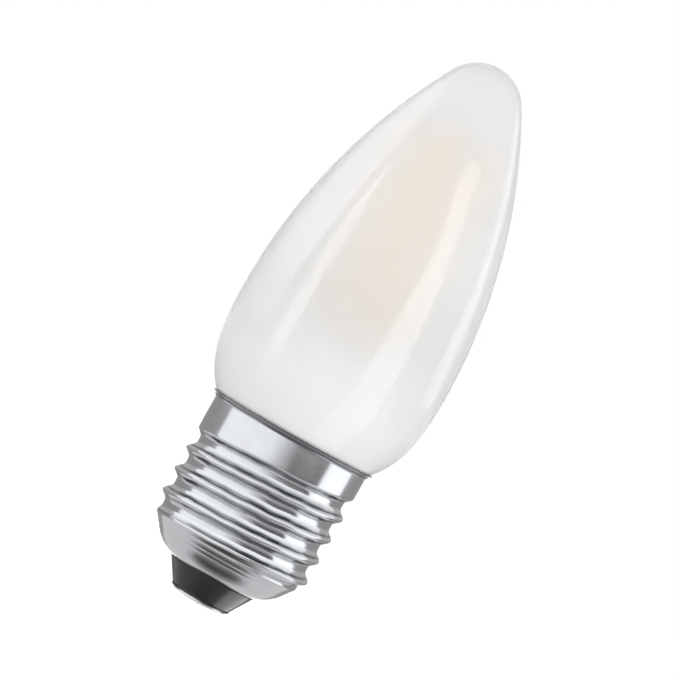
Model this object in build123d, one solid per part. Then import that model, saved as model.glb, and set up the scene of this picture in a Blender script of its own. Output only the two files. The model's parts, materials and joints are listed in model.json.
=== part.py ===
from build123d import *
import math
import os

# Frosted LED candle lamp with an E27 screw cap. Millimetres, +Z towards the tip of the glass,
# origin in the middle of the centre contact's flat, where the lamp meets the bottom of its holder.

# Glass bulb
LAMP_LENGTH = 92.5
GLASS_DIAMETER = 35.0
GLASS_WALL = 0.7
TIP_RADIUS = 6.8
BELLY_ABOVE_RIM = 15.5  # from the cap's rim to the widest place
BELLY_TURN = 8.6  # degrees that the side turns below the widest place before the shoulder begins
RIM_SLOPE = 41.7  # degrees between the shoulder and the axis at the cap's rim
NECK_DEPTH = 5.5  # length of glass inside the cap
NECK_FILLET = 4.0

# Pressed screw shell
CAP_HEIGHT = 29.5  # contact to rim
SHEET = 0.3
CREST_DIAMETER = 26.1
THREAD_DEPTH = 1.1
PITCH = 3.629
RINGS_PER_TURN = 8  # straight spans along the axis in one pitch of the thread
RUN_OUT = 1.9  # height over which the thread fades into the collar
THREAD_ABOVE_SEAT = 2.4  # height over the insulator seat at which the helix sets out at +X
COLLAR_STEP = 0.15  # collar inside the crests
COLLAR_LENGTH = 5.1  # from the thread's end to the rim
INNER_SHOULDER = 0.5  # height of the slope inside, from the thread's bore to the collar
RIM_HEIGHT = 1.15
RIM_EDGE = 0.1
BEAD_FLARE = 0.32  # small step halfway up the flared rim, outside the collar
BEAD_BELOW_RIM = 0.78
BEAD_WIDTH = 0.2
BEAD_STEP = 0.04
LIP_FLARE = 0.74  # rim's edge outside the collar
DOME_RADIUS = 6.56
DOME_START_ANGLE = 16.5  # slope of the dome where it leaves the insulator seat
LEAD_IN_ANGLE = 52.6  # slope of the cone on which the thread begins
SEAT_WIDTH = 0.55  # insulator's step under the shell's floor

# Insulator and centre contact
CONTACT_DIAMETER = 8.9
CONTACT_FLAT_DIAMETER = 2.4
CONTACT_DOME = 0.5
CONTACT_EDGE = 0.25
PIN_DIAMETER = 2.6
PIN_END = 0.35  # pin standing proud of the insulator inside the cap
INSULATOR_HEIGHT = 3.9
INSULATOR_FOOT_DIAMETER = 9.8
INSULATOR_TOP_DIAMETER = 14.3
INSULATOR_LIP = 0.35
SNAP_FLANGE_REACH = 0.4  # flange over the edge of the hole in the floor
SNAP_FLANGE_HEIGHT = 1.1
CEMENT_HEIGHT = 1.1

# Glass stem
STEM_WALL = 0.8
STEM_TUBE_DIAMETER = 9.2
STEM_FLARE_RADIUS = 4.5
STEM_TUBE_HEIGHT = 12.0  # flare to press
PRESS_WIDTH = 9.2
PRESS_THICKNESS = 3.8
PRESS_HEIGHT = 6.0
PRESS_ROUND = 1.0
PRESS_ROOT = 1.4  # length of the press that closes the tube
COLUMN_DIAMETER = 3.0
BUTTON_DIAMETER = 4.8
EXHAUST_DIAMETER = 4.0
PRESS_TOP_SHARE = 0.8  # top rounding as a share of the corner rounding

# Filaments and wires
WIRE_DIAMETER = 0.6
LEAD_SPACING = 5.8
LEAD_BEND = 1.2
LEAD_ABOVE_PRESS = 1.4  # where a lead turns outwards
CROSS_OVERHANG = 4.0  # degrees by which a cross wire passes its filaments
FILAMENTS = 4
FILAMENT_CIRCLE = 5.7  # radius on which the filaments' ends stand
FILAMENT_ANGLE = -75.0  # place of the first filament's foot, from +X towards +Y
FILAMENT_TWIST = 70.0
UPPER_WIRE_BELOW_TIP = 11.6
FILAMENT_ABOVE_PRESS = 3.1
FILAMENT_WIDTH = 1.9
FILAMENT_THICKNESS = 1.4
TAB_LENGTH = 1.7
TAB_WIDTH = 0.9
TAB_THICKNESS = 0.2
TAB_ROOT = 0.5  # tab buried in the coated strip
COAT_ROUNDING = 0.45  # corner radius of the coat as a share of its thickness
BRIDGE_APEX = 1.2  # distance from the axis at which a bridge wire turns inside the button
BRIDGE_BEND = 0.5

# Driver
BOARD_WIDTH = 15.0
BOARD_HEIGHT = 10.0
BOARD_THICKNESS = 1.0
BOARD_ABOVE_PIN = 1.0
CAPACITOR_DIAMETER = 8.0
CAPACITOR_LENGTH = 8.6
CAPACITOR_X = 2.0
CAPACITOR_CRIMP = 0.35
CAPACITOR_CRIMP_HEIGHT = 1.05
CAPACITOR_LEAD_SPACING = 3.5
CAPACITOR_ABOVE_EDGE = 2.0
FUSE_DIAMETER = 2.6
FUSE_LENGTH = 6.4
FUSE_ABOVE_EDGE = 2.2
FUSE_LEAD_REACH = 1.4
FUSE_ROUND = 0.5
FUSE_BEND = 0.6
RECTIFIER_SIZE = (4.6, 2.2, 3.8)
RECTIFIER_X = -3.6
REGULATOR_SIZE = (4.4, 1.5, 2.6)
REGULATOR_X = 3.4
CHIP_ROW_ABOVE_EDGE = 7.0  # middle of the rectifier and regulator
RESISTOR_SIZE = (3.2, 0.6, 1.6)
RESISTOR_X = -5.2
RESISTOR_ABOVE_EDGE = 4.5
RESISTOR_STEP = 2.8
LEG_WIDTH = 0.6
LEG_LENGTH = 0.9
LEG_THICKNESS = 0.25
LEG_STEP = 2.5

# Clearances
RIM_GAP = 0.05  # glass to the inside of the rim
NECK_GAP = 0.05  # glass to the inside of the thread
SNAP_GAP = 0.05  # insulator to the hole in the shell, and pin to its hole
WELD_GAP = 0.1  # filament tab to its wire, and neutral wire to the shell
PART_GAP = 0.4  # driver pieces to one another, and exhaust tube to the board
OVERRUN = 1.0  # length by which a cutting shape passes the face it cuts

# Places that follow from the sizes
GLASS_R = GLASS_DIAMETER / 2
CREST_R = CREST_DIAMETER / 2
ROOT_R = CREST_R - THREAD_DEPTH
BORE_R = ROOT_R - SHEET
NECK_R = BORE_R - NECK_GAP
COLLAR_R = CREST_R - COLLAR_STEP
BEAD_R = COLLAR_R + BEAD_FLARE
LIP_R = COLLAR_R + LIP_FLARE
WIRE_R = WIRE_DIAMETER / 2
INSULATOR_Z = CONTACT_DOME + CONTACT_EDGE
SEAT_Z = INSULATOR_Z + INSULATOR_HEIGHT
SEAT_R = INSULATOR_TOP_DIAMETER / 2
FLOOR_HOLE_R = SEAT_R - SEAT_WIDTH
FLOOR_TOP_Z = SEAT_Z + SHEET * math.cos(math.radians(DOME_START_ANGLE))
FLANGE_TOP_Z = FLOOR_TOP_Z + SNAP_FLANGE_HEIGHT
PIN_TOP_Z = FLANGE_TOP_Z + PIN_END
THREAD_Z = SEAT_Z + THREAD_ABOVE_SEAT
COLLAR_Z = CAP_HEIGHT - COLLAR_LENGTH
NECK_Z = CAP_HEIGHT - NECK_DEPTH
BELLY_Z = CAP_HEIGHT + BELLY_ABOVE_RIM
PRESS_Z = NECK_Z + STEM_TUBE_HEIGHT
PRESS_TOP_Z = PRESS_Z + PRESS_HEIGHT
LOWER_WIRE_Z = PRESS_TOP_Z + FILAMENT_ABOVE_PRESS
UPPER_WIRE_Z = LAMP_LENGTH - UPPER_WIRE_BELOW_TIP
BOARD_Z = PIN_TOP_Z + BOARD_ABOVE_PIN
BOARD_TOP_Z = BOARD_Z + BOARD_HEIGHT
BOARD_FACE_Y = BOARD_THICKNESS / 2
FILAMENT_STEP = 360 / FILAMENTS


def rod(radius, bottom, top):
    """Upright cylinder on the lamp's axis between two heights."""
    return Pos(0, 0, bottom) * Cylinder(radius, top - bottom, align=(Align.CENTER, Align.CENTER, Align.MIN))


def turned(*lines):
    """Solid turned about the lamp's axis from lines that close a half section in (radius, height)."""
    return revolve(Plane.XZ * make_face([edge for line in lines for edge in line.edges()]), Axis.Z)


def around(radius, degrees, height):
    """Point at a distance and an angle from the lamp's axis."""
    turn = math.radians(degrees)
    return Vector(radius * math.cos(turn), radius * math.sin(turn), height)


def bent_wire(points, bend):
    """Round wire along straight runs joined by bends."""
    path = FilletPolyline(*points, radius=bend)
    return sweep(Plane(origin=path @ 0, z_dir=path % 0) * Circle(WIRE_R), path=path)


def block(size, centre):
    """Box of a given size about its centre."""
    return Pos(*centre) * Box(*size)


def glass_envelope():
    """Blown bulb: small round tip, long side, belly, shoulder and neck as one line of tangent arcs."""
    rim_r = LIP_R - SHEET - RIM_GAP
    rise = LAMP_LENGTH - TIP_RADIUS - BELLY_Z
    side_radius = (GLASS_R**2 + rise**2 - TIP_RADIUS**2) / (2 * (GLASS_R - TIP_RADIUS))
    side_turn = math.degrees(math.atan2(rise, side_radius - GLASS_R))
    side = JernArc((GLASS_R, BELLY_Z), (0, 1), side_radius, side_turn)
    tip = TangentArc(side @ 1, (0, LAMP_LENGTH), tangent=side % 1)
    turn = math.radians(BELLY_TURN)
    chord = math.tan(math.radians(BELLY_TURN + RIM_SLOPE) / 2)
    belly_radius = (BELLY_ABOVE_RIM * chord + rim_r - GLASS_R) / (math.sin(turn) * chord + math.cos(turn) - 1)
    belly = JernArc((GLASS_R, BELLY_Z), (0, -1), belly_radius, -BELLY_TURN)
    shoulder = TangentArc(belly @ 1, (rim_r, CAP_HEIGHT), tangent=belly % 1)
    corner_z = CAP_HEIGHT - (rim_r - NECK_R) / math.tan(math.radians(RIM_SLOPE))
    neck = FilletPolyline(shoulder @ 1, (NECK_R, corner_z), (NECK_R, NECK_Z), radius=NECK_FILLET)
    outside = Curve() + [tip, side, belly, shoulder, neck]
    return turned(offset(outside, amount=GLASS_WALL, side=Side.LEFT))


def dome_arc(inset):
    """Arc of the shell's dome from the insulator seat to the lead-in cone, at a depth in the sheet."""
    slope = math.radians(DOME_START_ANGLE)
    start = (SEAT_R - inset * math.sin(slope), SEAT_Z + inset * math.cos(slope))
    tangent = (math.cos(slope), math.sin(slope))
    return JernArc(start, tangent, DOME_RADIUS - inset, LEAD_IN_ANGLE - DOME_START_ANGLE)


def thread_ring(z, cone_foot):
    """Circle of the rolled thread at one height: its centre runs once round the axis in each pitch.

    Low down the lead-in cone cuts the ridge off, and at the top ridge and root both run out into the collar.
    """
    cone = cone_foot.X + (z - cone_foot.Y) / math.tan(math.radians(LEAD_IN_ANGLE))
    share = min(max((z - COLLAR_Z + RUN_OUT) / RUN_OUT, 0), 1)
    run_out = share * share * (3 - 2 * share)
    crest = min(CREST_R, cone) * (1 - run_out) + COLLAR_R * run_out
    root = min(ROOT_R, cone) * (1 - run_out) + COLLAR_R * run_out
    middle = around((crest - root) / 2, 360 * (z - THREAD_Z) / PITCH, z)
    return Location(middle) * Circle((crest + root) / 2)


def screw_shell():
    """Cap pressed from sheet: dome, rolled thread, collar and a rim flared in two steps for the glass."""
    dome = dome_arc(0)
    foot = dome @ 1
    spans = math.ceil((COLLAR_Z - foot.Y) * RINGS_PER_TURN / PITCH)
    rise = (COLLAR_Z - foot.Y) / spans
    barrel = loft([thread_ring(foot.Y + rise * number, foot) for number in range(spans + 1)], ruled=True)
    base = turned(dome, Polyline(foot, (0, foot.Y), (0, SEAT_Z), dome @ 0))
    bead_z = CAP_HEIGHT - BEAD_BELOW_RIM
    flare_z = CAP_HEIGHT - RIM_EDGE
    collar = Polyline(
        (0, COLLAR_Z),
        (COLLAR_R, COLLAR_Z),
        (COLLAR_R, CAP_HEIGHT - RIM_HEIGHT),
        (BEAD_R, bead_z),
        (BEAD_R - BEAD_STEP, bead_z + BEAD_WIDTH),
        (LIP_R, flare_z),
        (LIP_R, CAP_HEIGHT),
        (0, CAP_HEIGHT),
        close=True,
    )
    inner_dome = dome_arc(SHEET)
    inner_foot = inner_dome @ 1
    inside = Polyline(
        inner_foot,
        (BORE_R, inner_foot.Y + (BORE_R - inner_foot.X) * math.tan(math.radians(LEAD_IN_ANGLE))),
        (BORE_R, COLLAR_Z),
        (COLLAR_R - SHEET, COLLAR_Z + INNER_SHOULDER),
        (COLLAR_R - SHEET, CAP_HEIGHT - RIM_HEIGHT),
        (LIP_R - SHEET, flare_z),
        (LIP_R - SHEET, CAP_HEIGHT + OVERRUN),
        (0, CAP_HEIGHT + OVERRUN),
        (0, FLOOR_TOP_Z),
        inner_dome @ 0,
    )
    hole = rod(FLOOR_HOLE_R, SEAT_Z - OVERRUN, FLOOR_TOP_Z + OVERRUN)
    return base + barrel + turned(collar) - turned(inner_dome, inside) - hole


def cap_insulator():
    """Black cone under the shell, with a snap flange inside the shell's floor and a hole for the pin."""
    hole = PIN_DIAMETER / 2 + SNAP_GAP
    foot = INSULATOR_FOOT_DIAMETER / 2
    waist = FLOOR_HOLE_R - SNAP_GAP
    flange = FLOOR_HOLE_R + SNAP_FLANGE_REACH
    section = Polyline(
        (hole, INSULATOR_Z),
        (foot, INSULATOR_Z),
        (foot, INSULATOR_Z + INSULATOR_LIP),
        (SEAT_R, SEAT_Z),
        (waist, SEAT_Z),
        (waist, FLOOR_TOP_Z),
        (flange, FLOOR_TOP_Z),
        (waist, FLANGE_TOP_Z),
        (hole, FLANGE_TOP_Z),
        close=True,
    )
    return turned(section)


def centre_contact():
    """Domed disc with a flat in the middle and a pin that goes up through the insulator."""
    edge = CONTACT_DIAMETER / 2
    flat = CONTACT_FLAT_DIAMETER / 2
    pin = PIN_DIAMETER / 2
    dome = TangentArc((flat, 0), (edge, CONTACT_DOME), tangent=(1, 0))
    rest = Polyline(
        (edge, CONTACT_DOME),
        (edge, INSULATOR_Z),
        (pin, INSULATOR_Z),
        (pin, PIN_TOP_Z),
        (0, PIN_TOP_Z),
        (0, 0),
        (flat, 0),
    )
    return turned(dome, rest)


def basing_cement(glass):
    """Ring of cement that fills the collar round the neck."""
    bottom = COLLAR_Z + INNER_SHOULDER
    return rod(COLLAR_R - SHEET, bottom, bottom + CEMENT_HEIGHT) - rod(NECK_R, bottom, CAP_HEIGHT) - glass


def lead_wire(side):
    """Wire from the board up through the press, with a cross wire that feeds two filaments."""
    spread = LEAD_SPACING / 2
    middle = FILAMENT_ANGLE + FILAMENT_STEP / 2
    stalk = bent_wire(
        [
            (spread, 0, BOARD_TOP_Z),
            (spread, 0, PRESS_TOP_Z + LEAD_ABOVE_PRESS),
            around(FILAMENT_CIRCLE, middle, LOWER_WIRE_Z),
        ],
        LEAD_BEND,
    )
    ring = Plane.XZ * Pos(FILAMENT_CIRCLE, LOWER_WIRE_Z) * Circle(WIRE_R)
    cross = revolve(ring, Axis.Z, FILAMENT_STEP + 2 * CROSS_OVERHANG)
    return Rot(0, 0, side * 180) * (stalk + Rot(0, 0, FILAMENT_ANGLE - CROSS_OVERHANG) * cross)


def bridge_wire(side):
    """Bent wire in the glass button that joins the upper ends of two filaments."""
    first = FILAMENT_ANGLE - FILAMENT_STEP + FILAMENT_TWIST
    reach = FILAMENT_CIRCLE + TAB_WIDTH / 2
    points = [
        around(reach, first, UPPER_WIRE_Z),
        around(BRIDGE_APEX, first + FILAMENT_STEP / 2, UPPER_WIRE_Z),
        around(reach, first + FILAMENT_STEP, UPPER_WIRE_Z),
    ]
    return Rot(0, 0, side * 180) * bent_wire(points, BRIDGE_BEND)


def glass_stem(embedded):
    """Flare, tube, press, column, button and sealed exhaust tube, with the wires' own holes."""
    tube = STEM_TUBE_DIAMETER / 2
    flare = FilletPolyline((NECK_R, NECK_Z), (tube, NECK_Z), (tube, PRESS_Z), radius=STEM_FLARE_RADIUS)
    stem = turned(offset(flare, amount=STEM_WALL, side=Side.LEFT))
    stem += rod(tube, PRESS_Z, PRESS_Z + PRESS_ROOT)
    press = extrude(
        Pos(0, 0, PRESS_Z) * RectangleRounded(PRESS_WIDTH, PRESS_THICKNESS, PRESS_ROUND), PRESS_HEIGHT
    )
    stem += fillet(press.faces().sort_by(Axis.Z)[-1].edges(), PRESS_ROUND * PRESS_TOP_SHARE)
    stem += rod(COLUMN_DIAMETER / 2, PRESS_Z, UPPER_WIRE_Z)
    stem += Pos(0, 0, UPPER_WIRE_Z) * Sphere(BUTTON_DIAMETER / 2)
    radius = EXHAUST_DIAMETER / 2
    end_z = BOARD_TOP_Z + PART_GAP + radius
    exhaust = rod(radius, end_z, PRESS_Z) + Pos(0, 0, end_z) * Sphere(radius)
    bore = radius - STEM_WALL
    exhaust -= rod(bore, end_z, PRESS_Z - PRESS_ROOT) + Pos(0, 0, end_z) * Sphere(bore)
    stem += exhaust
    for wire in embedded:
        stem -= wire
    return stem


def led_filament(number):
    """Coated LED strip with a flat metal tab at each end, leaning with the cage's twist."""
    angle = FILAMENT_ANGLE + number * FILAMENT_STEP
    foot = around(FILAMENT_CIRCLE, angle, LOWER_WIRE_Z)
    head = around(FILAMENT_CIRCLE, angle + FILAMENT_TWIST, UPPER_WIRE_Z)
    along = head - foot
    tangent = around(1, angle + FILAMENT_TWIST / 2 + 90, 0)
    frame = Plane(origin=foot, x_dir=tangent, z_dir=along)
    ends = WIRE_R + WELD_GAP
    strip = along.length - 2 * (ends + TAB_LENGTH)
    coat = RectangleRounded(FILAMENT_WIDTH, FILAMENT_THICKNESS, FILAMENT_THICKNESS * COAT_ROUNDING)
    solid = extrude(frame.offset(ends + TAB_LENGTH) * coat, strip)
    for start in (ends, ends + TAB_LENGTH + strip - TAB_ROOT):
        tab = Rectangle(TAB_WIDTH, TAB_THICKNESS)
        solid += extrude(frame.offset(start) * tab, TAB_LENGTH + TAB_ROOT)
    return solid


def driver_board():
    """Upright board below the stem, in line with the two lead wires."""
    return block((BOARD_WIDTH, BOARD_THICKNESS, BOARD_HEIGHT), (0, 0, BOARD_Z + BOARD_HEIGHT / 2))


def legged_chip(size, x):
    """Moulded chip on the back of the board, with flat legs above and below its body."""
    width, depth, height = size
    z = BOARD_Z + CHIP_ROW_ABOVE_EDGE
    chip = block(size, (x, BOARD_FACE_Y + depth / 2, z))
    leg_y = BOARD_FACE_Y + LEG_THICKNESS / 2
    leg_z = (height + LEG_LENGTH) / 2
    for leg_x in (x - LEG_STEP / 2, x + LEG_STEP / 2):
        for leg_side in (-1, 1):
            chip += block((LEG_WIDTH, LEG_THICKNESS, LEG_LENGTH), (leg_x, leg_y, z + leg_side * leg_z))
    return chip


def sense_resistor(number):
    """Flat chip resistor on the front of the board."""
    z = BOARD_Z + RESISTOR_ABOVE_EDGE + number * RESISTOR_STEP
    return block(RESISTOR_SIZE, (RESISTOR_X, -BOARD_FACE_Y - RESISTOR_SIZE[1] / 2, z))


def smoothing_capacitor():
    """Upright can in front of the board, with a crimped end and two leads bent to the board."""
    radius = CAPACITOR_DIAMETER / 2
    y = -BOARD_FACE_Y - RESISTOR_SIZE[1] - PART_GAP - radius
    z = BOARD_Z + CAPACITOR_ABOVE_EDGE
    can = Pos(CAPACITOR_X, y, 0) * rod(radius, z, z + CAPACITOR_LENGTH)
    can = fillet(can.edges().filter_by(GeomType.CIRCLE), CAPACITOR_CRIMP)
    crimp = Pos(CAPACITOR_X, y, z + CAPACITOR_CRIMP_HEIGHT) * Torus(radius, CAPACITOR_CRIMP)
    can -= crimp
    drop = z - LEAD_BEND - WIRE_R
    for x in (CAPACITOR_X - CAPACITOR_LEAD_SPACING / 2, CAPACITOR_X + CAPACITOR_LEAD_SPACING / 2):
        can += bent_wire([(x, y, z + CAPACITOR_CRIMP), (x, y, drop), (x, -BOARD_FACE_Y, drop)], LEAD_BEND)
    return can


def fuse_resistor():
    """Axial resistor behind the board, one lead on the board and the other on the contact's pin."""
    radius = FUSE_DIAMETER / 2
    y = BOARD_FACE_Y + PART_GAP + radius
    z = BOARD_Z + FUSE_ABOVE_EDGE
    end = FUSE_LENGTH / 2
    reach = end + FUSE_LEAD_REACH
    low = PIN_TOP_Z + WIRE_R + WELD_GAP
    body = Pos(-end, y, z) * Rot(0, 90, 0) * rod(radius, 0, FUSE_LENGTH)
    body = fillet(body.edges().filter_by(GeomType.CIRCLE), FUSE_ROUND)
    body += bent_wire([(-end, y, z), (-reach, y, z), (-reach, BOARD_FACE_Y, z)], FUSE_BEND)
    body += bent_wire([(end, y, z), (reach, y, z), (reach, y, low), (0, 0, low)], FUSE_BEND)
    return body


def neutral_wire():
    """Short wire from the board's edge to the inside of the shell."""
    start = BOARD_WIDTH / 2
    end = BORE_R - WELD_GAP
    return Pos(start, 0, BOARD_Z + BOARD_HEIGHT / 2) * Rot(0, 90, 0) * rod(WIRE_R, 0, end - start)


glass = glass_envelope()
leads = [lead_wire(0), lead_wire(1)]
bridges = [bridge_wire(0), bridge_wire(1)]
pieces = {
    "glass_envelope": glass,
    "glass_stem": glass_stem(leads + bridges),
    "screw_shell": screw_shell(),
    "cap_insulator": cap_insulator(),
    "centre_contact": centre_contact(),
    "basing_cement": basing_cement(glass),
    "driver_board": driver_board(),
    "bridge_rectifier": legged_chip(RECTIFIER_SIZE, RECTIFIER_X),
    "current_regulator": legged_chip(REGULATOR_SIZE, REGULATOR_X),
    "smoothing_capacitor": smoothing_capacitor(),
    "fuse_resistor": fuse_resistor(),
    "neutral_wire": neutral_wire(),
}
for number in range(2):
    pieces[f"lead_wire_{number + 1}"] = leads[number]
    pieces[f"top_bridge_wire_{number + 1}"] = bridges[number]
    pieces[f"sense_resistor_{number + 1}"] = sense_resistor(number)
for number in range(FILAMENTS):
    pieces[f"led_filament_{number + 1}"] = led_filament(number)

os.makedirs("parts", exist_ok=True)
for name, shape in pieces.items():
    export_step(shape, f"parts/{name}.step")
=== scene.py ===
import bmesh
import bpy
import json
import math
from mathutils import Matrix, Vector, noise


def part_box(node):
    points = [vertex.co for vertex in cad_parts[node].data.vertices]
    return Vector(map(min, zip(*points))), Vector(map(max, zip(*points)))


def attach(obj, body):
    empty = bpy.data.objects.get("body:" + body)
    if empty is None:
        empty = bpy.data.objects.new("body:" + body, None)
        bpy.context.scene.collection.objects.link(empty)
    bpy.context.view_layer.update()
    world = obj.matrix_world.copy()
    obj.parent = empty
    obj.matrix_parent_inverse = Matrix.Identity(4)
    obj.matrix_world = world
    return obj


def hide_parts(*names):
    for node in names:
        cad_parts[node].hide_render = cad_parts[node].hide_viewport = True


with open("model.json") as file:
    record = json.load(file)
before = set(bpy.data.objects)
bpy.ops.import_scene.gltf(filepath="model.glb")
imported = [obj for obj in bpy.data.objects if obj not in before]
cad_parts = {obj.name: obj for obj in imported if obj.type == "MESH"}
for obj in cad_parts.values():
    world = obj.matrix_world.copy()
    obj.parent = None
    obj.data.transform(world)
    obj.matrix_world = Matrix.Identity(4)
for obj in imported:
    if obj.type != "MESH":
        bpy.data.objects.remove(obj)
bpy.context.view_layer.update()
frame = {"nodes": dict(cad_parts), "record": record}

# Frosted candle lamp with a screw cap.
# Every size is in millimetres and every angle in degrees, unless its name says otherwise.
MM = 0.001
SEGMENTS = 192  # faces round the lamp's axis
TURNS = [360 * number / SEGMENTS for number in range(SEGMENTS)]
DOME_SPANS = 12  # spans along the domes of the shell and the contact
CORNER_SPANS = 6  # spans round a softened corner
CORNER_SHARE = 0.45  # most of a straight run that a softened corner may take


def node_box(node):
    """Lowest and highest corner of a CAD node in millimetres."""
    low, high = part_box(node)
    return low / MM, high / MM


glass_low, glass_high = node_box("glass_envelope")
shell_low, shell_high = node_box("screw_shell")
insulator_low, insulator_high = node_box("cap_insulator")
contact_low, contact_high = node_box("centre_contact")

# Glass bulb
LAMP_LENGTH = glass_high.z
GLASS_R = glass_high.x
GLASS_WALL = 0.7
TIP_RADIUS = 6.8
BELLY_ABOVE_RIM = 15.5  # from the cap's rim to the widest place
BELLY_TURN = 8.6  # turn of the side below the widest place, before the shoulder begins
RIM_SLOPE = 41.7  # between the shoulder and the axis at the rim
NECK_FILLET = 4.0
FROST_FADE = 24  # height above the rim over which the frost thins
TIP_SPANS = 24  # spans along each arc of the outline
SIDE_SPANS = 60
BELLY_SPANS = 10
SHOULDER_SPANS = 20
NECK_SPANS = 10

# Pressed screw shell
RIM_Z = shell_high.z
LIP_R = shell_high.x
SEAT_Z = shell_low.z
SEAT_R = insulator_high.x
SHEET = 0.3
LIP_FLARE = 0.74  # rim's edge outside the collar
COLLAR_STEP = 0.15  # collar inside the crests
COLLAR_LENGTH = 5.1  # from the thread's end to the rim
THREAD_DEPTH = 1.1
THREAD_ABOVE_SEAT = 2.4  # height over the insulator seat at which the helix sets out at +X
PITCH = 3.629
DOME_RADIUS = 6.56
DOME_START = 16.5  # slope of the dome where it leaves the insulator seat
LEAD_IN = 52.6  # slope of the cone on which the thread begins
SEAT_WIDTH = 0.55  # insulator's step under the shell's floor
INNER_SHOULDER = 0.5  # slope inside, from the thread's bore to the collar
BORE_FOOT = 2  # height over the dome's edge at which the bore begins
NECK_GAP = 0.05  # glass to the inside of the thread
RIM_GAP = 0.05  # glass to the inside of the rim
COLLAR_R = LIP_R - LIP_FLARE
CREST_R = COLLAR_R + COLLAR_STEP
ROOT_R = CREST_R - THREAD_DEPTH
BORE_R = ROOT_R - SHEET
NECK_R = BORE_R - NECK_GAP
THREAD_Z = SEAT_Z + THREAD_ABOVE_SEAT
COLLAR_Z = RIM_Z - COLLAR_LENGTH
FLOOR_HOLE_R = SEAT_R - SEAT_WIDTH

# Flared rim: depths are below its top edge, and flares are outside the collar
RIM_HEIGHT = 1.15
FLARE_DEPTH = 0.95
BEAD_DEPTH = 0.6
BEAD_FLARE = 0.32
WAIST_DEPTH = 0.45  # narrow place between the bead and the lip
WAIST_FLARE = 0.28
LIP_DEPTH = 0.14
LINING_DEPTH = 0.1
RIM_ROUND = 0.06
RIM_SHADE_LINES = (0.1, 0.56)  # depths of the rim's dark lines, painted shade of the crimp
RIM_SHADE_WIDTH = 0.17

# Rolled thread
LAST_CREST = 4  # number of the ridge that runs into the collar
GROOVE_END = 100  # azimuth at the back where the last groove has faded out
GROOVE_FADE = 85  # turn over which it fades
COLLAR_EASE = 0.5  # part of a pitch over which the last ridge comes down to the collar
THREAD_STEPS = 40  # rings in one pitch
CREST_SHARPNESS = 1.8  # above 1 the ridges are narrower than the valleys
ROLL_WAVE = 0.08  # unevenness left by the thread rolls, as a share of the thread's depth
WAVE_BUMPS = 7  # more bumps give more waves in a turn
WAVE_RISE = 2.2  # height over which the unevenness changes
ROLL_WANDER = 0.035  # how far the ridges wander up and down, as a share of the pitch
WANDER_BUMPS = 3.4
WANDER_RISE = 9
SHADE_LINE_AT = 0.55  # share of the ridge's height where a dark line of painted shade runs along the flank
SHADE_LINE_WIDTH = 0.16
SHADE_LINE_DARKNESS = 0.95
SHADE_LINE_PATCHES = 0.5  # how much the painted shade line comes and goes
PATCH_BUMPS = 3
PATCH_RISE = 1.5
SCORES = (0.6, 1.25)  # heights on the lead-in of the shallow lines left by the ends of the rolls
SCORE_WIDTH = 0.3
SCORE_DEPTH = 0.03

# Insulator and centre contact
INSULATOR_FOOT_R = 4.9
FOOT_LAND = 1  # flat ring under the insulator's foot
INSULATOR_LIP = 0.35
SEAT_LAND = 0.6  # flat ring on which the shell sits
SEAT_RISE = 0.2  # slope from that ring into the hole in the shell
SNAP_GAP = 0.05  # insulator to that hole
INSULATOR_ROUND = 0.12
PIN_HOLE_R = 1.4
PIN_R = 1.3
CONTACT_DOME = 0.5
CONTACT_FLAT_R = 1.2


def cosine(degrees):
    return math.cos(math.radians(degrees))


def sine(degrees):
    return math.sin(math.radians(degrees))


def tangent(degrees):
    return math.tan(math.radians(degrees))


def spread(start, end, steps):
    """Evenly spaced values from one end to the other."""
    return [start + (end - start) * step / steps for step in range(steps + 1)]


def smooth(share):
    """Soft step from 0 to 1."""
    share = min(max(share, 0), 1)
    return share * share * (3 - 2 * share)


# Lines in (radius, height)


def arc(centre, radius, start, end, steps):
    """Points on an arc, with angles from the outward direction towards the tip."""
    return [(centre[0] + radius * cosine(a), centre[1] + radius * sine(a)) for a in spread(start, end, steps)]


def eased(points, radius):
    """Straight runs through the points with every inner corner rounded."""
    line = [points[0]]
    for before, corner, after in zip(points, points[1:], points[2:]):
        corner = Vector(corner)
        back = Vector(before) - corner
        ahead = Vector(after) - corner
        half = back.angle(ahead) / 2
        reach = min(radius / math.tan(half), back.length * CORNER_SHARE, ahead.length * CORNER_SHARE)
        start = corner + back.normalized() * reach
        end = corner + ahead.normalized() * reach
        for share in spread(0, 1, CORNER_SPANS):
            line.append(tuple(start.lerp(corner, share).lerp(corner.lerp(end, share), share)))
    line.append(points[-1])
    return line


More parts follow.
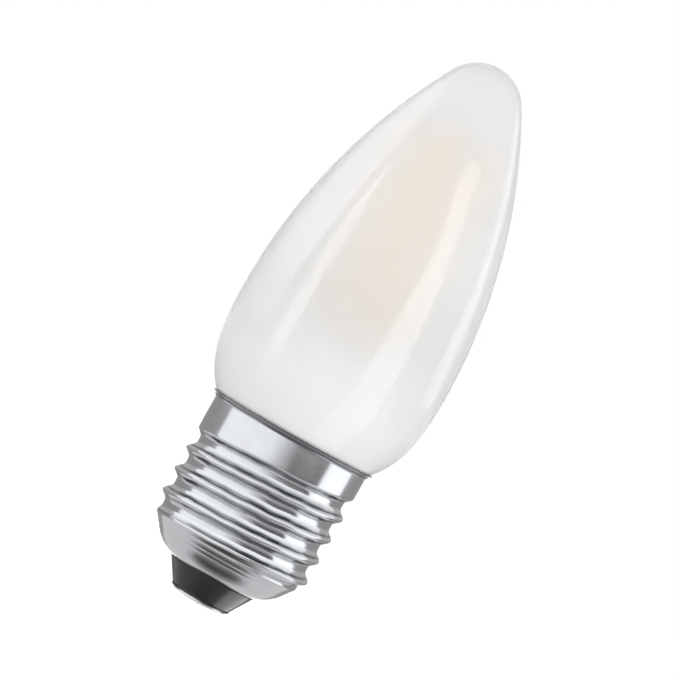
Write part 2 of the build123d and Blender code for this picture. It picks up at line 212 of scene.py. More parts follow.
def glass_line(inset):
    """Outline of the bulb from its tip to its neck, at a depth in the wall."""
    belly_z = RIM_Z + BELLY_ABOVE_RIM
    rim_r = LIP_R - SHEET - RIM_GAP
    rise = LAMP_LENGTH - TIP_RADIUS - belly_z
    side = (GLASS_R**2 + rise**2 - TIP_RADIUS**2) / (2 * (GLASS_R - TIP_RADIUS))
    side_turn = math.degrees(math.atan2(rise, side - GLASS_R))
    chord = tangent((BELLY_TURN + RIM_SLOPE) / 2)
    belly = (BELLY_ABOVE_RIM * chord + rim_r - GLASS_R) / (sine(BELLY_TURN) * chord + cosine(BELLY_TURN) - 1)
    belly_end = arc((GLASS_R - belly, belly_z), belly, 0, -BELLY_TURN, 1)[-1]
    drop = math.dist(belly_end, (rim_r, RIM_Z))
    shoulder = drop / (2 * sine((RIM_SLOPE - BELLY_TURN) / 2))
    shoulder_centre = arc(belly_end, shoulder, 180 - BELLY_TURN, 0, 1)[0]
    corner_z = RIM_Z - (rim_r - NECK_R) / tangent(RIM_SLOPE)
    fillet_z = corner_z - NECK_FILLET * tangent(RIM_SLOPE / 2)
    line = arc((0, LAMP_LENGTH - TIP_RADIUS), TIP_RADIUS - inset, 90, side_turn, TIP_SPANS)
    line += arc((GLASS_R - side, belly_z), side - inset, side_turn, 0, SIDE_SPANS)[1:]
    line += arc((GLASS_R - belly, belly_z), belly - inset, 0, -BELLY_TURN, BELLY_SPANS)[1:]
    line += arc(shoulder_centre, shoulder - inset, -BELLY_TURN, -RIM_SLOPE, SHOULDER_SPANS)[1:]
    line += arc((NECK_R + NECK_FILLET, fillet_z), NECK_FILLET + inset, 180 - RIM_SLOPE, 180, NECK_SPANS)
    line.append((NECK_R - inset, glass_low.z))
    line[0] = (0, line[0][1])
    return line


# Meshes


def ring(radius, z):
    """Points round the lamp's axis, or the one point on it."""
    if radius < MM:
        return [(0, 0, z)]
    return [(radius * cosine(turn), radius * sine(turn), z) for turn in TURNS]


def stand_up(name, shape):
    """Object from a finished shape, set in the scene."""
    mesh = bpy.data.meshes.new(name)
    shape.to_mesh(mesh)
    shape.free()
    made = bpy.data.objects.new(name, mesh)
    bpy.context.scene.collection.objects.link(made)
    return made


def skin(name, rings, loop=False, sharp=35, lining=None, painted_line_shade=None):
    """Quad mesh over rings of points, where a ring of one point is a pole.

    A loop joins the last ring to the first. Edges past the sharp angle stay crisp. Faces from the ring
    numbered lining on take the second material. The last argument says how much painted shade darkens
    each point.
    """
    shape = bmesh.new()
    rows = [[shape.verts.new(Vector(point) * MM) for point in points] for points in rings]
    pairs = list(zip(rows, rows[1:]))
    if loop:
        pairs.append((rows[-1], rows[0]))
    for row, (low, high) in enumerate(pairs):
        count = max(len(low), len(high))
        for number in range(count):
            after = (number + 1) % count
            corners = [low[number % len(low)], low[after % len(low)]]
            corners += [high[after % len(high)], high[number % len(high)]]
            face = shape.faces.new(dict.fromkeys(corners))
            face.material_index = int(lining is not None and row >= lining)
    bmesh.ops.recalc_face_normals(shape, faces=shape.faces)
    piece = stand_up(name, shape)
    piece.data.shade_smooth()
    piece.data.set_sharp_from_angle(angle=math.radians(sharp))
    if painted_line_shade:
        piece.data.attributes.new("painted_line_shade", "FLOAT", "POINT").data.foreach_set("value", painted_line_shade)
    return piece


def place(piece, node, slot, *finishes):
    """Stand a piece in for its CAD node and give it its finishes."""
    for finish in finishes:
        piece.data.materials.append(finish)
    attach(piece, "root")
    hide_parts(node)
    return piece


# Materials: sizes of their patterns
FROST_CLOUD = 9  # patches of thicker and thinner frost
BLOWN_REAM = 14  # slow waves that blowing leaves in glass
FROST_GRAIN = 0.8  # the silica grains are far finer, and are drawn this coarse so that they show
PLATE_CLOUD = 3  # faint stains
PLATE_GRAIN = 0.4  # the marks of the rolls are finer, and are drawn this coarse so that they show
FLOW_MARK = 1.5  # swirls of the resin in its mould
DRAWN_REAM = 2  # waves that drawing leaves in glass
ROLLER_MARK = 60  # uneven paint on the floor


def linear(code):
    """Linear colour from an sRGB hex code."""
    values = [int(code[start:start + 2], 16) / 255 for start in (1, 3, 5)]
    return [v / 12.92 if v <= 0.04045 else ((v + 0.055) / 1.055) ** 2.4 for v in values] + [1.0]


def grain(size):
    """Texture scale whose features have a size in millimetres."""
    return 1 / (size * MM)


def add(tree, kind, inputs=None, **settings):
    """Add a shader node with its settings; an input is a value or the output of another node."""
    made = tree.nodes.new("ShaderNode" + kind)
    for name, value in settings.items():
        setattr(made, name, value)
    for socket, value in (inputs or {}).items():
        if isinstance(value, bpy.types.NodeSocket):
            tree.links.new(value, made.inputs[socket])
        else:
            made.inputs[socket].default_value = value
    return made


def new_material(name):
    """Empty node material and its tree."""
    material = bpy.data.materials.new(name)
    material.use_nodes = True
    material.node_tree.nodes.clear()
    return material, material.node_tree


def mottled(tree, place_of, size, detail, dark, light):
    """Cloudy pattern at a size in millimetres: its strength, and two shades mixed by it."""
    cloud = add(tree, "TexNoise", {"Vector": place_of, "Scale": grain(size), "Detail": detail})
    tint = add(tree, "ValToRGB", {"Fac": cloud.outputs["Fac"]})
    tint.color_ramp.elements[0].color = linear(dark)
    tint.color_ramp.elements[1].color = linear(light)
    return cloud.outputs["Fac"], tint.outputs["Color"]


def milky_glass():
    """Blown soda-lime glass, fire-polished: milky from the frost behind it, with a wet-looking gloss.

    The milky body has no gloss of its own, so that all reflections are the coat's and stay crisp.
    """
    material, tree = new_material("milky_soda_lime_glass")
    place_of = add(tree, "TexCoord").outputs["Object"]
    tint = mottled(tree, place_of, FROST_CLOUD, 3, "#FAFAFB", "#FEFEFE")[1]
    height = add(tree, "SeparateXYZ", {"Vector": place_of})
    clear = add(tree, "MapRange", {
        "Value": height.outputs["Z"], "From Min": RIM_Z * MM, "From Max": (RIM_Z + FROST_FADE) * MM,
        "To Min": 0.1, "To Max": 0.66,
    }, interpolation_type="SMOOTHSTEP")
    ream = add(tree, "TexNoise", {"Vector": place_of, "Scale": grain(BLOWN_REAM), "Detail": 1})
    relief = add(tree, "Bump", {"Height": ream.outputs["Fac"], "Strength": 0.03, "Distance": 0.1 * MM})
    surface = add(tree, "BsdfPrincipled", {
        "Base Color": tint, "Roughness": 0.8, "IOR": 1.52,
        "Specular IOR Level": 0.0, "Specular Tint": linear("#000000"),
        "Transmission Weight": clear.outputs["Result"],
        "Coat Weight": 1.0, "Coat Roughness": 0.01, "Coat IOR": 1.52, "Coat Normal": relief.outputs["Normal"],
    })
    add(tree, "OutputMaterial", {"Surface": surface.outputs["BSDF"]})
    return material


def inner_frost():
    """White silica frost, sprayed inside the bulb: what is coloured behind it shows as a blur."""
    material, tree = new_material("silica_frost")
    place_of = add(tree, "TexCoord").outputs["Object"]
    cloud = add(tree, "TexNoise", {"Vector": place_of, "Scale": grain(FROST_GRAIN), "Detail": 3})
    relief = add(tree, "Bump", {"Height": cloud.outputs["Fac"], "Strength": 0.2, "Distance": 0.02 * MM})
    surface = add(tree, "BsdfPrincipled", {
        "Base Color": linear("#FDFDFE"), "Roughness": 0.7, "IOR": 1.52, "Transmission Weight": 1.0,
        "Normal": relief.outputs["Normal"],
    })
    add(tree, "OutputMaterial", {"Surface": surface.outputs["BSDF"]})
    return material


def nickel_plate():
    """Bright nickel on rolled brass sheet: cool grey mirror, slightly softened by the rolls, with painted
    shade lines.
    """
    material, tree = new_material("bright_nickel_plate")
    place_of = add(tree, "TexCoord").outputs["Object"]
    cloud, tint = mottled(tree, place_of, PLATE_CLOUD, 4, "#CED0D3", "#DDDFE2")
    # Dark grey mixed in along the thread's flanks and round the rim is painted shade
    painted_shade = add(tree, "Attribute", attribute_name="painted_line_shade")
    shade = add(tree, "MixRGB", {
        "Fac": painted_shade.outputs["Fac"], "Color1": tint, "Color2": linear("#4E5054"),
    })
    softness = add(tree, "MapRange", {"Value": cloud, "To Min": 0.12, "To Max": 0.22})
    fine = add(tree, "TexNoise", {"Vector": place_of, "Scale": grain(PLATE_GRAIN), "Detail": 3})
    relief = add(tree, "Bump", {"Height": fine.outputs["Fac"], "Strength": 0.1, "Distance": 0.02 * MM})
    surface = add(tree, "BsdfPrincipled", {
        "Base Color": shade.outputs["Color"], "Metallic": 1.0, "Roughness": softness.outputs["Result"],
        "Normal": relief.outputs["Normal"],
    })
    add(tree, "OutputMaterial", {"Surface": surface.outputs["BSDF"]})
    return material


def black_insulator():
    """Black phenolic resin, moulded: deep gloss with faint flow marks."""
    material, tree = new_material("black_moulded_phenolic")
    place_of = add(tree, "TexCoord").outputs["Object"]
    flow, tint = mottled(tree, place_of, FLOW_MARK, 4, "#131314", "#1B1B1C")
    softness = add(tree, "MapRange", {"Value": flow, "To Min": 0.14, "To Max": 0.24})
    relief = add(tree, "Bump", {"Height": flow, "Strength": 0.1, "Distance": 0.03 * MM})
    surface = add(tree, "BsdfPrincipled", {
        "Base Color": tint, "Roughness": softness.outputs["Result"], "IOR": 1.55,
        "Normal": relief.outputs["Normal"],
    })
    add(tree, "OutputMaterial", {"Surface": surface.outputs["BSDF"]})
    return material


def plain_finish(name, dark, light, mottle, roughness, metallic=0.0):
    """Finish between two shades, mottled at a size in millimetres, for the contact and the pieces inside."""
    material, tree = new_material(name)
    place_of = add(tree, "TexCoord").outputs["Object"]
    cloud, tint = mottled(tree, place_of, mottle, 3, dark, light)
    relief = add(tree, "Bump", {"Height": cloud, "Strength": 0.1, "Distance": 0.02 * MM})
    surface = add(tree, "BsdfPrincipled", {
        "Base Color": tint, "Metallic": metallic, "Roughness": roughness,
        "Normal": relief.outputs["Normal"],
    })
    add(tree, "OutputMaterial", {"Surface": surface.outputs["BSDF"]})
    return material


def clear_glass():
    """Clear lead-free stem glass, drawn: bright edges and faint ream."""
    material, tree = new_material("clear_stem_glass")
    place_of = add(tree, "TexCoord").outputs["Object"]
    ream = add(tree, "TexNoise", {"Vector": place_of, "Scale": grain(DRAWN_REAM), "Detail": 2})
    relief = add(tree, "Bump", {"Height": ream.outputs["Fac"], "Strength": 0.1, "Distance": 0.02 * MM})
    surface = add(tree, "BsdfPrincipled", {
        "Base Color": linear("#F2F5F3"), "Roughness": 0.03, "IOR": 1.52, "Transmission Weight": 1.0,
        "Normal": relief.outputs["Normal"],
    })
    add(tree, "OutputMaterial", {"Surface": surface.outputs["BSDF"]})
    return material


# Pieces


def glass_envelope(glass, frost):
    """Blown bulb with a polished outer surface and a frosted inner one."""
    outside = glass_line(0)
    inside = glass_line(GLASS_WALL)
    rings = [ring(*point) for point in outside + inside[::-1]]
    bulb = skin("glass_bulb", rings, lining=len(outside))
    return place(bulb, "glass_envelope", "frosted_glass", glass, frost)


def uneven(turn, z, bumps, rise):
    """Smooth noise round the cap, with more waves in a turn for more bumps.

    Rise is the height over which it changes.
    """
    return noise.noise((bumps * cosine(turn), bumps * sine(turn), z / rise))


def thread_ring(z, cone_foot):
    """Ring of the rolled thread at one height, and how much painted shade darkens each of its points.

    The lead-in cone cuts the ridge off below, and the last groove fades into the collar above.
    """
    cone = cone_foot[0] + (z - cone_foot[1]) / tangent(LEAD_IN)
    cone -= sum(SCORE_DEPTH * smooth(1 - abs(z - cone_foot[1] - above) / SCORE_WIDTH) for above in SCORES)
    points = []
    painted_line_shade = []
    for turn in TURNS:
        along = turn if turn >= GROOVE_END else turn + 360
        climb = (z - THREAD_Z) / PITCH - along / 360
        climb += ROLL_WANDER * uneven(turn, z, WANDER_BUMPS, WANDER_RISE)
        ridge = ((1 + cosine(360 * climb)) / 2) ** CREST_SHARPNESS
        depth = CREST_R - ROOT_R
        if climb > LAST_CREST:
            ridge = 1
        elif climb > LAST_CREST - 1:
            depth *= smooth((GROOVE_END + 360 - along) / GROOVE_FADE)
        crest = CREST_R + (COLLAR_R - CREST_R) * smooth((climb - LAST_CREST) / COLLAR_EASE + 1)
        # The rolls' unevenness is full halfway up a flank and leaves crests and roots alone
        wave = uneven(turn, z, WAVE_BUMPS, WAVE_RISE) * ROLL_WAVE
        ridge += wave * 4 * ridge * (1 - ridge)
        top = min(crest, cone)
        root = min(crest - depth, cone)
        radius = root + (top - root) * ridge
        points.append((radius * cosine(turn), radius * sine(turn), z))
        # A patchy dark line on each flank, as painted shade
        patchy = SHADE_LINE_DARKNESS + SHADE_LINE_PATCHES * uneven(turn, z, PATCH_BUMPS, PATCH_RISE)
        line = math.exp(-((ridge - SHADE_LINE_AT) / SHADE_LINE_WIDTH) ** 2)
        painted_line_shade.append(min(line * patchy * (top - root) / (CREST_R - ROOT_R), 1))
    return points, painted_line_shade


def screw_shell(nickel):
    """Pressed cap: dome, rolled thread, collar, flared rim with its bead, and the plain inside."""
    centre = (SEAT_R - DOME_RADIUS * sine(DOME_START), SEAT_Z + DOME_RADIUS * cosine(DOME_START))
    dome = arc(centre, DOME_RADIUS, DOME_START - 90, LEAD_IN - 90, DOME_SPANS)
    foot = dome[-1]
    thread_end = THREAD_Z + PITCH * (LAST_CREST + 1 + GROOVE_END / 360)
    count = math.ceil((thread_end - foot[1]) * THREAD_STEPS / PITCH)
    rim = eased([
        (COLLAR_R, thread_end),
        (COLLAR_R, RIM_Z - RIM_HEIGHT),
        (COLLAR_R, RIM_Z - FLARE_DEPTH),
        (COLLAR_R + BEAD_FLARE, RIM_Z - BEAD_DEPTH),
        (COLLAR_R + WAIST_FLARE, RIM_Z - WAIST_DEPTH),
        (LIP_R, RIM_Z - LIP_DEPTH),
        (LIP_R, RIM_Z),
        (LIP_R - SHEET, RIM_Z),
        (LIP_R - SHEET, RIM_Z - LINING_DEPTH),
        (COLLAR_R - SHEET, RIM_Z - RIM_HEIGHT),
        (COLLAR_R - SHEET, COLLAR_Z + INNER_SHOULDER),
        (BORE_R, COLLAR_Z),
        (BORE_R, foot[1] + BORE_FOOT),
        (FLOOR_HOLE_R, SEAT_Z + SHEET),
        (FLOOR_HOLE_R, SEAT_Z),
    ], RIM_ROUND)
    rings = [ring(*point) for point in dome]
    painted_line_shade = [0] * len(dome) * SEGMENTS
    for z in spread(foot[1], thread_end, count)[1:-1]:
        points, flank_shade = thread_ring(z, foot)
        rings.append(points)
        painted_line_shade += flank_shade
    for radius, z in rim:
        rings.append(ring(radius, z))
        # Two dark lines round the rim, as painted shade in the crimp
        rim_shade = [smooth(1 - abs(z - RIM_Z + below) / RIM_SHADE_WIDTH) for below in RIM_SHADE_LINES]
        painted_line_shade += [max(rim_shade)] * SEGMENTS
    shell = skin("screw_cap_shell", rings, loop=True, painted_line_shade=painted_line_shade)
    return place(shell, "screw_shell", "nickel_plate", nickel)


def cap_insulator(black):
    """Moulded cone with softened edges."""
    waist_r = FLOOR_HOLE_R - SNAP_GAP
    line = eased([
        (INSULATOR_FOOT_R - FOOT_LAND, insulator_low.z),
        (INSULATOR_FOOT_R, insulator_low.z),
        (INSULATOR_FOOT_R, insulator_low.z + INSULATOR_LIP),
        (SEAT_R, SEAT_Z),
        (SEAT_R - SEAT_LAND, SEAT_Z),
        (waist_r, SEAT_Z + SEAT_RISE),
        (waist_r, insulator_high.z),
        (PIN_HOLE_R, insulator_high.z),
        (PIN_HOLE_R, insulator_low.z),
    ], INSULATOR_ROUND)
    rings = [ring(*point) for point in line]
    return place(skin("insulator_cone", rings, loop=True), "cap_insulator", "black_insulator", black)


def centre_contact(tin):
    """Domed disc with a flat, and its pin."""
    edge = contact_high.x
    reach = edge - CONTACT_FLAT_R
    radius = (reach**2 + CONTACT_DOME**2) / (2 * CONTACT_DOME)
    half = math.degrees(math.asin(reach / radius))
    dome = arc((CONTACT_FLAT_R, radius), radius, -90, half - 90, DOME_SPANS)
    line = [
        (0, contact_low.z),
        *dome,
        (edge, insulator_low.z),
        (PIN_R, insulator_low.z),
        (PIN_R, contact_high.z),
        (0, contact_high.z),
    ]
    rings = [ring(*point) for point in line]
    return place(skin("contact_disc", rings), "centre_contact", "tinned_contact", tin)


glass_envelope(milky_glass(), inner_frost())
screw_shell(nickel_plate())
insulator = cap_insulator(black_insulator())
# Brass, pressed and dipped in tin: pale soft mirror
centre_contact(plain_finish("tinned_brass", "#C9C9C6", "#DCDCDA", mottle=0.8, roughness=0.28, metallic=1.0))

inner_finishes = {
    "clear_glass": clear_glass(),
    # Mortar, cast and baked: warm grey, quite matt
    "cement": plain_finish("basing_cement", "#B9B2A4", "#CFC9BC", mottle=0.6, roughness=0.9),
    # Nickel-iron, drawn: warm grey metal with a satin shine
    "nickel_wire": plain_finish(
        "nickel_iron_wire", "#C6C4BF", "#D6D4CF", mottle=0.5, roughness=0.4, metallic=1.0
    ),
    # Silicone filled with phosphor, moulded: strong egg yellow that tints the frost in front of it
    "phosphor_coat": plain_finish("phosphor_in_silicone", "#F5BC2C", "#FDD450", mottle=0.7, roughness=0.55),
    # Glass-epoxy laminate under solder resist: dark green with a dull gloss
    "circuit_board": plain_finish("glass_epoxy_board", "#1D5A31", "#2A6B3E", mottle=1.2, roughness=0.45),
    # Epoxy, moulded: charcoal, nearly matt
    "black_epoxy": plain_finish("moulded_epoxy", "#1C1C1D", "#272728", mottle=0.3, roughness=0.5),
    # Vinyl, shrunk on: blue-black with a soft gloss
    "capacitor_sleeve": plain_finish("shrink_sleeve", "#15161C", "#1F2028", mottle=1.0, roughness=0.35),
    # Lacquer, dipped: grey-green gloss
    "resistor_lacquer": plain_finish("resistor_lacquer", "#3E6E5B", "#4B7D69", mottle=0.5, roughness=0.3),
    # Alumina, printed and glazed: near-black with a soft gloss
    "chip_ceramic": plain_finish("glazed_chip", "#1A1A1D", "#242428", mottle=0.4, roughness=0.35),
}
slots = {entry["node"]: entry["material_slot"] for entry in frame["record"]["subparts"]}
for name, piece in frame["nodes"].items():
    if slots[name] in inner_finishes:
        piece.data.materials.clear()
        piece.data.materials.append(inner_finishes[slots[name]])

# Studio: cards stand or lie round the lamp, with azimuth 0 towards the camera and positive to its right.
# A light level of 1 is the white of the backdrop.
CARD_SPANS = 12  # spans along an upright card
FAN_SPAN = 6  # turn of one span of a level card
AXIS_HOLE = 0.1  # radius at which a full fan begins
BAND_DISTANCE = 300  # cards whose reflections are the bands on the glass
TENT_DISTANCE = 310  # cards that light the glass evenly
LOW_DISTANCE = 260  # cards that the cap reflects
BAND_BASE = RIM_Z + 0.5
BAND_FOOT = RIM_Z + 0.4
OVER_SHIELD = RIM_Z + 0.05  # the shields part the light of the glass from that of the cap
UNDER_SHIELD = RIM_Z - 0.05
SHIELD_HOLE = LIP_R + 0.06
TENT_TOP = 260
BACK_TOP = 420
FRONT_TOP = 425
FLAG_BASE = -25
LOW_BASE = -110
STAND_Z = -100  # level cards below the lamp, one just over another
SLOT_Z = -99.5
FLAG_FOOT = -99


def diffuser_cloth():
    """White diffuser cloth, woven: an even glow, as strong as the level written on each point."""
    material, tree = new_material("studio_cloth")
    level = add(tree, "Attribute", attribute_name="level")
    light = add(tree, "Emission", {"Color": linear("#FFFFFF"), "Strength": level.outputs["Fac"]})
    add(tree, "OutputMaterial", {"Surface": light.outputs["Emission"]})
    return material


studio_cloth = diffuser_cloth()


def panel(name, rows, levels, use):
    """Stage card over rows of points, with a light level on each, unseen by the camera.

    Its use says what it lights: a highlight shows in reflections alone, a fill never does, and a board
    does both.
    """
    shape = bmesh.new()
    made = [[shape.verts.new(Vector(point) * MM) for point in row] for row in rows]
    for low, high in zip(made, made[1:]):
        for number in range(len(low) - 1):
            shape.faces.new([low[number], low[number + 1], high[number + 1], high[number]])
    stand = stand_up(name, shape)
    stand.data.attributes.new("level", "FLOAT", "POINT").data.foreach_set("value", levels)
    stand.data.materials.append(studio_cloth)
    stand.visible_camera = False
    stand.visible_diffuse = use != "highlight"
    stand.visible_transmission = use != "highlight"
    stand.visible_glossy = use != "fill"


def card(name, rows, distance, levels, use="board"):
    """Upright card bent round the lamp, its light going from one level to another along it.

    Each row, from the foot up, has the azimuth and height of its start and of its end.
    """
    points = []
    for (start, low), (end, high) in rows:
        turns = spread(start, end, CARD_SPANS)
        heights = spread(low, high, CARD_SPANS)
        points.append([(distance * sine(t), -distance * cosine(t), z) for t, z in zip(turns, heights)])
    panel(name, points, spread(*levels, CARD_SPANS) * len(rows), use)


def fan(name, height, rows, levels, forward=0, depth=1, use="board"):
    """Level card spread out round the lamp's axis.

    Each row has its radius and two azimuths, and its own light level. Forward moves the card towards the
    camera, and depth squeezes it in that direction.
    """
    steps = math.ceil(max(end - start for radius, start, end in rows) / FAN_SPAN)
    points = []
    for radius, start, end in rows:
        turns = spread(start, end, steps)
        points.append([(radius * sine(t), -depth * radius * cosine(t) - forward, height) for t in turns])
    panel(name, points, [level for level in levels for step in range(steps + 1)], use)


def sector(start, end, *radii):
    """Rows of a fan between two azimuths."""
    return [(radius, start, end) for radius in radii]


def wall(start, end, low, high):
    """Rows of a card between two azimuths and two heights."""
    return [((start, low), (end, low)), ((start, high), (end, high))]


# Bands on the glass, and their feet, which carry them down over its shoulder
card("left_band", [
    ((-129, 67), (-80, 78)), ((-133, 119), (-78, 165)), ((-145, 185), (-81, 258)), ((-128, 280), (-88, 338)),
], BAND_DISTANCE, (1.35, 2.75), use="highlight")
card("left_band_low", [
    ((-125, BAND_BASE), (-82, BAND_BASE)), ((-129, 67), (-80, 78)),
], BAND_DISTANCE, (1.0, 1.8), use="highlight")
card("left_wedge", [
    ((-66, BAND_BASE), (-50, BAND_BASE)), ((-66, 81), (-51, 83)), ((-67, 128), (-52, 133)),
    ((-69, 175), (-57, 183)), ((-68.4, 251), (-67.3, 252)),
], BAND_DISTANCE, (3.0, 3.0), use="highlight")
card("right_key", [
    ((32, BAND_BASE), (63.5, BAND_BASE)), ((34, 85), (62.5, 81)), ((38, 190), (60.3, 180)),
    ((34.7, 271), (59.8, 250)), ((30.3, 361), (60.2, 334)),
], BAND_DISTANCE, (3.0, 2.9), use="highlight")
card("right_edge", [
    ((107, BAND_BASE), (131, BAND_BASE)), ((103, 95), (124, 88)), ((112, 157), (126, 140)),
    ((129, 278), (144, 215)),
], BAND_DISTANCE, (1.95, 1.85), use="highlight")
fan("left_band_foot", BAND_FOOT, [
    (80, -120, -76), (BAND_DISTANCE, -125, -82),
], (0.6, 0.85), use="highlight")
fan("left_wedge_foot", BAND_FOOT, [
    (40, -56, -40), (75, -62, -46), (BAND_DISTANCE, -66, -50),
], (0.8, 2.5, 2.8), use="highlight")
fan("right_key_foot", BAND_FOOT, [
    (14.4, 9, 31), (18, 12, 36), (24.4, 18, 46), (40, 24, 55), (58, 27, 59), (95, 30, 61),
    (BAND_DISTANCE, 32, 63.5),
], (1.6, 1.7, 1.8, 1.9, 2.1, 2.4, 2.75), use="highlight")
fan("right_edge_foot", BAND_FOOT, [
    (80, 104, 127), (BAND_DISTANCE, 107, 131),
], (0.65, 0.95), use="highlight")

# What the glass reflects above and behind the bands
fan("front_top", FRONT_TOP, sector(-60, 60, 100, 190, 230, BAND_DISTANCE), (
    0.6, 0.9, 1.3, 1.3,
), use="highlight")
fan("top_flag", BACK_TOP, sector(90, 270, AXIS_HOLE, BAND_DISTANCE), (0.9, 0.85), use="highlight")
card("back_flag", wall(129, 226, BAND_BASE, BACK_TOP), BAND_DISTANCE, (0.72, 0.72), use="highlight")

# Tent that lights the milky glass, brightest in front
card("tent_left", wall(-110, 0, BAND_BASE, TENT_TOP), TENT_DISTANCE, (0.82, 1.5), use="fill")
card("tent_right", wall(0, 110, BAND_BASE, TENT_TOP), TENT_DISTANCE, (1.5, 0.9), use="fill")
card("tent_back", wall(110, 250, BAND_BASE, TENT_TOP), TENT_DISTANCE, (0.84, 0.84), use="fill")
fan("tent_top", TENT_TOP, sector(65, 335, AXIS_HOLE, TENT_DISTANCE), (0.8, 0.84), use="fill")
fan("tent_top_front", TENT_TOP, sector(-25, 65, AXIS_HOLE, 150, TENT_DISTANCE), (
    0.84, 1.12, 1.65,
), use="fill")

# Light and dark cards that the cap reflects
card("low_left", wall(-96, -16, LOW_BASE, RIM_Z), LOW_DISTANCE, (1.23, 1.1))
card("low_left_fall", wall(-16, 20, LOW_BASE, RIM_Z), LOW_DISTANCE, (1.1, 0.08))
card("front_flag", wall(20, 66, FLAG_BASE, RIM_Z), LOW_DISTANCE, (0.08, 0.09))
card("front_flag_skirt", wall(20, 66, LOW_BASE, FLAG_BASE), LOW_DISTANCE, (0.35, 0.35))
card("low_right", wall(66, 110, LOW_BASE, RIM_Z), LOW_DISTANCE, (1.5, 1.5))
card("low_left_flag", wall(-168, -96, LOW_BASE, RIM_Z), LOW_DISTANCE, (0.34, 0.34))
card("low_right_flag", wall(110, 168, LOW_BASE, RIM_Z), LOW_DISTANCE, (0.34, 0.34))

# Shields round the rim: the cap reflects the lower ones, and the glass the upper ones.
# The upper ones are brighter on the right.
under_radii = (SHIELD_HOLE, 16, 24, 60, BAND_DISTANCE)
fan("under_shield", UNDER_SHIELD, sector(-105, 110, *under_radii), (0.3, 0.75, 1.1, 1.35, 1.35))
fan("under_shield_back", UNDER_SHIELD, sector(110, 255, *under_radii), (0.3, 0.5, 0.5, 0.5, 0.5))
over_radii = (SHIELD_HOLE, 30, 60, BAND_DISTANCE)
fan("over_shield", OVER_SHIELD, sector(-10, 70, *over_radii), (0.8, 0.8, 1.18, 1.5))
fan("over_shield_left", OVER_SHIELD, sector(-40, -10, *over_radii), (0.75, 0.75, 1.1, 1.38))
fan("over_shield_far_left", OVER_SHIELD, sector(-70, -40, *over_radii), (0.7, 0.7, 1.02, 1.28))
fan("over_shield_back", OVER_SHIELD, sector(70, 290, SHIELD_HOLE, 60, BAND_DISTANCE), (0.55, 0.85, 0.9))

# Dark cards below, whose reflection is the dark oval on the cap's dome
fan("dark_stand", STAND_Z, sector(0, 360, AXIS_HOLE, 26, 44, 56, 72, 250), (
    0.22, 0.25, 0.27, 0.5, 0.7, 0.74,
), forward=3)
fan("dark_slot", SLOT_Z, sector(0, 360, AXIS_HOLE, 35, 52), (0.06, 0.09, 0.25), forward=6, depth=0.55)
fan("front_flag_foot", FLAG_FOOT, sector(22, 66, 100, LOW_DISTANCE), (0.4, 0.4))

# Lamp for the black cone, and the floor
CONE_LAMP_WIDTH = 165
CONE_LAMP_DEPTH = 240
CONE_LAMP_LEVEL = 1.6
CONE_LAMP_PLACE = (147.5, 105, -98)
FLOOR_Z = -120
FLOOR_RADIUS = 4000
FLOOR_SEGMENTS = 96
FLOOR_LIFT = 0.35  # own light that brings the floor up to white where it is seen


def insulator_lamp():
    """Lamp low on the right that faces up and is linked to the black cone, so that it lights nothing else."""
    lamp = bpy.data.lights.new("insulator_lamp", "AREA")
    lamp.shape = "RECTANGLE"
    lamp.size = CONE_LAMP_WIDTH * MM
    lamp.size_y = CONE_LAMP_DEPTH * MM
    lamp.energy = CONE_LAMP_LEVEL * math.pi * lamp.size * lamp.size_y
    stand = bpy.data.objects.new("insulator_lamp", lamp)
    stand.location = Vector(CONE_LAMP_PLACE) * MM
    stand.rotation_euler = (math.pi, 0, 0)
    bpy.context.scene.collection.objects.link(stand)
    aim = bpy.data.collections.new("insulator_lamp_aim")
    aim.objects.link(insulator)
    stand.light_linking.receiver_collection = aim


insulator_lamp()


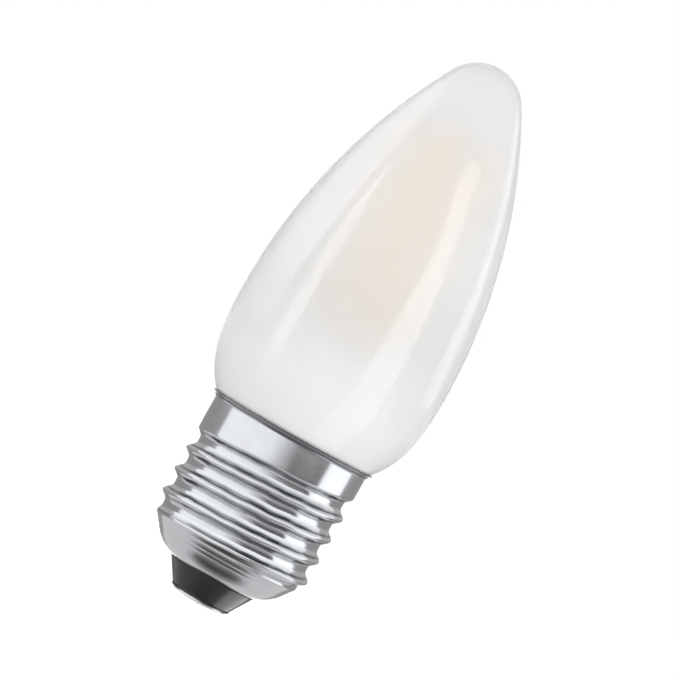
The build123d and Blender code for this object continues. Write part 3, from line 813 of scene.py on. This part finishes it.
def floor():
    """Floor of white board, painted with a roller: pale and matt, well below the lamp."""
    material, tree = new_material("white_painted_board")
    place_of = add(tree, "TexCoord").outputs["Object"]
    tint = mottled(tree, place_of, ROLLER_MARK, 2, "#F4F4F4", "#F7F7F7")[1]
    path = add(tree, "LightPath")
    seen = path.outputs["Is Camera Ray"]
    for ray in ("Is Glossy Ray", "Is Transmission Ray"):
        seen = add(tree, "Math", {0: seen, 1: path.outputs[ray]}, operation="MAXIMUM").outputs["Value"]
    lift = add(tree, "MapRange", {"Value": seen, "To Min": 0.0, "To Max": FLOOR_LIFT})
    surface = add(tree, "BsdfPrincipled", {
        "Base Color": tint, "Roughness": 0.9, "Specular IOR Level": 0.2,
        "Emission Color": linear("#FFFFFF"), "Emission Strength": lift.outputs["Result"],
    })
    add(tree, "OutputMaterial", {"Surface": surface.outputs["BSDF"]})
    shape = bmesh.new()
    bmesh.ops.create_circle(shape, cap_ends=True, segments=FLOOR_SEGMENTS, radius=FLOOR_RADIUS * MM)
    bmesh.ops.translate(shape, verts=shape.verts, vec=(0, 0, FLOOR_Z * MM))
    board = stand_up("floor", shape)
    board.data.materials.append(material)


floor()


def white_world():
    """White backdrop all round, which is also a plain level of soft light."""
    world = bpy.data.worlds.new("white_backdrop")
    world.use_nodes = True
    tree = world.node_tree
    tree.nodes.clear()
    light = add(tree, "Background", {"Color": linear("#FFFFFF"), "Strength": 1.0})
    add(tree, "OutputWorld", {"Surface": light.outputs["Background"]})
    bpy.context.scene.world = world


white_world()

# Camera: square on to the lamp's axis, rolled so that the lamp leans to the right
LEAN = 29.43
LENS = 200
SENSOR = 36
VIEW_WIDTH = 102.56  # of the picture, at the lamp's axis
LOOK_X = -0.72
LOOK_Z = 45.07
CLIP_START = 10

camera = bpy.data.objects.new("camera", bpy.data.cameras.new("camera"))
camera.data.lens = LENS
camera.data.sensor_width = SENSOR
camera.data.clip_start = CLIP_START * MM
bpy.context.scene.collection.objects.link(camera)
distance = VIEW_WIDTH * LENS / SENSOR
right = Vector((cosine(LEAN), 0, sine(LEAN)))
up = Vector((-sine(LEAN), 0, cosine(LEAN)))
toward = Vector((0, -1, 0))
turn = Matrix((right, up, toward)).transposed().to_4x4()
camera.matrix_world = Matrix.Translation(Vector((LOOK_X, -distance, LOOK_Z)) * MM) @ turn
bpy.context.scene.camera = camera

bpy.context.scene.view_settings.view_transform = "Standard"
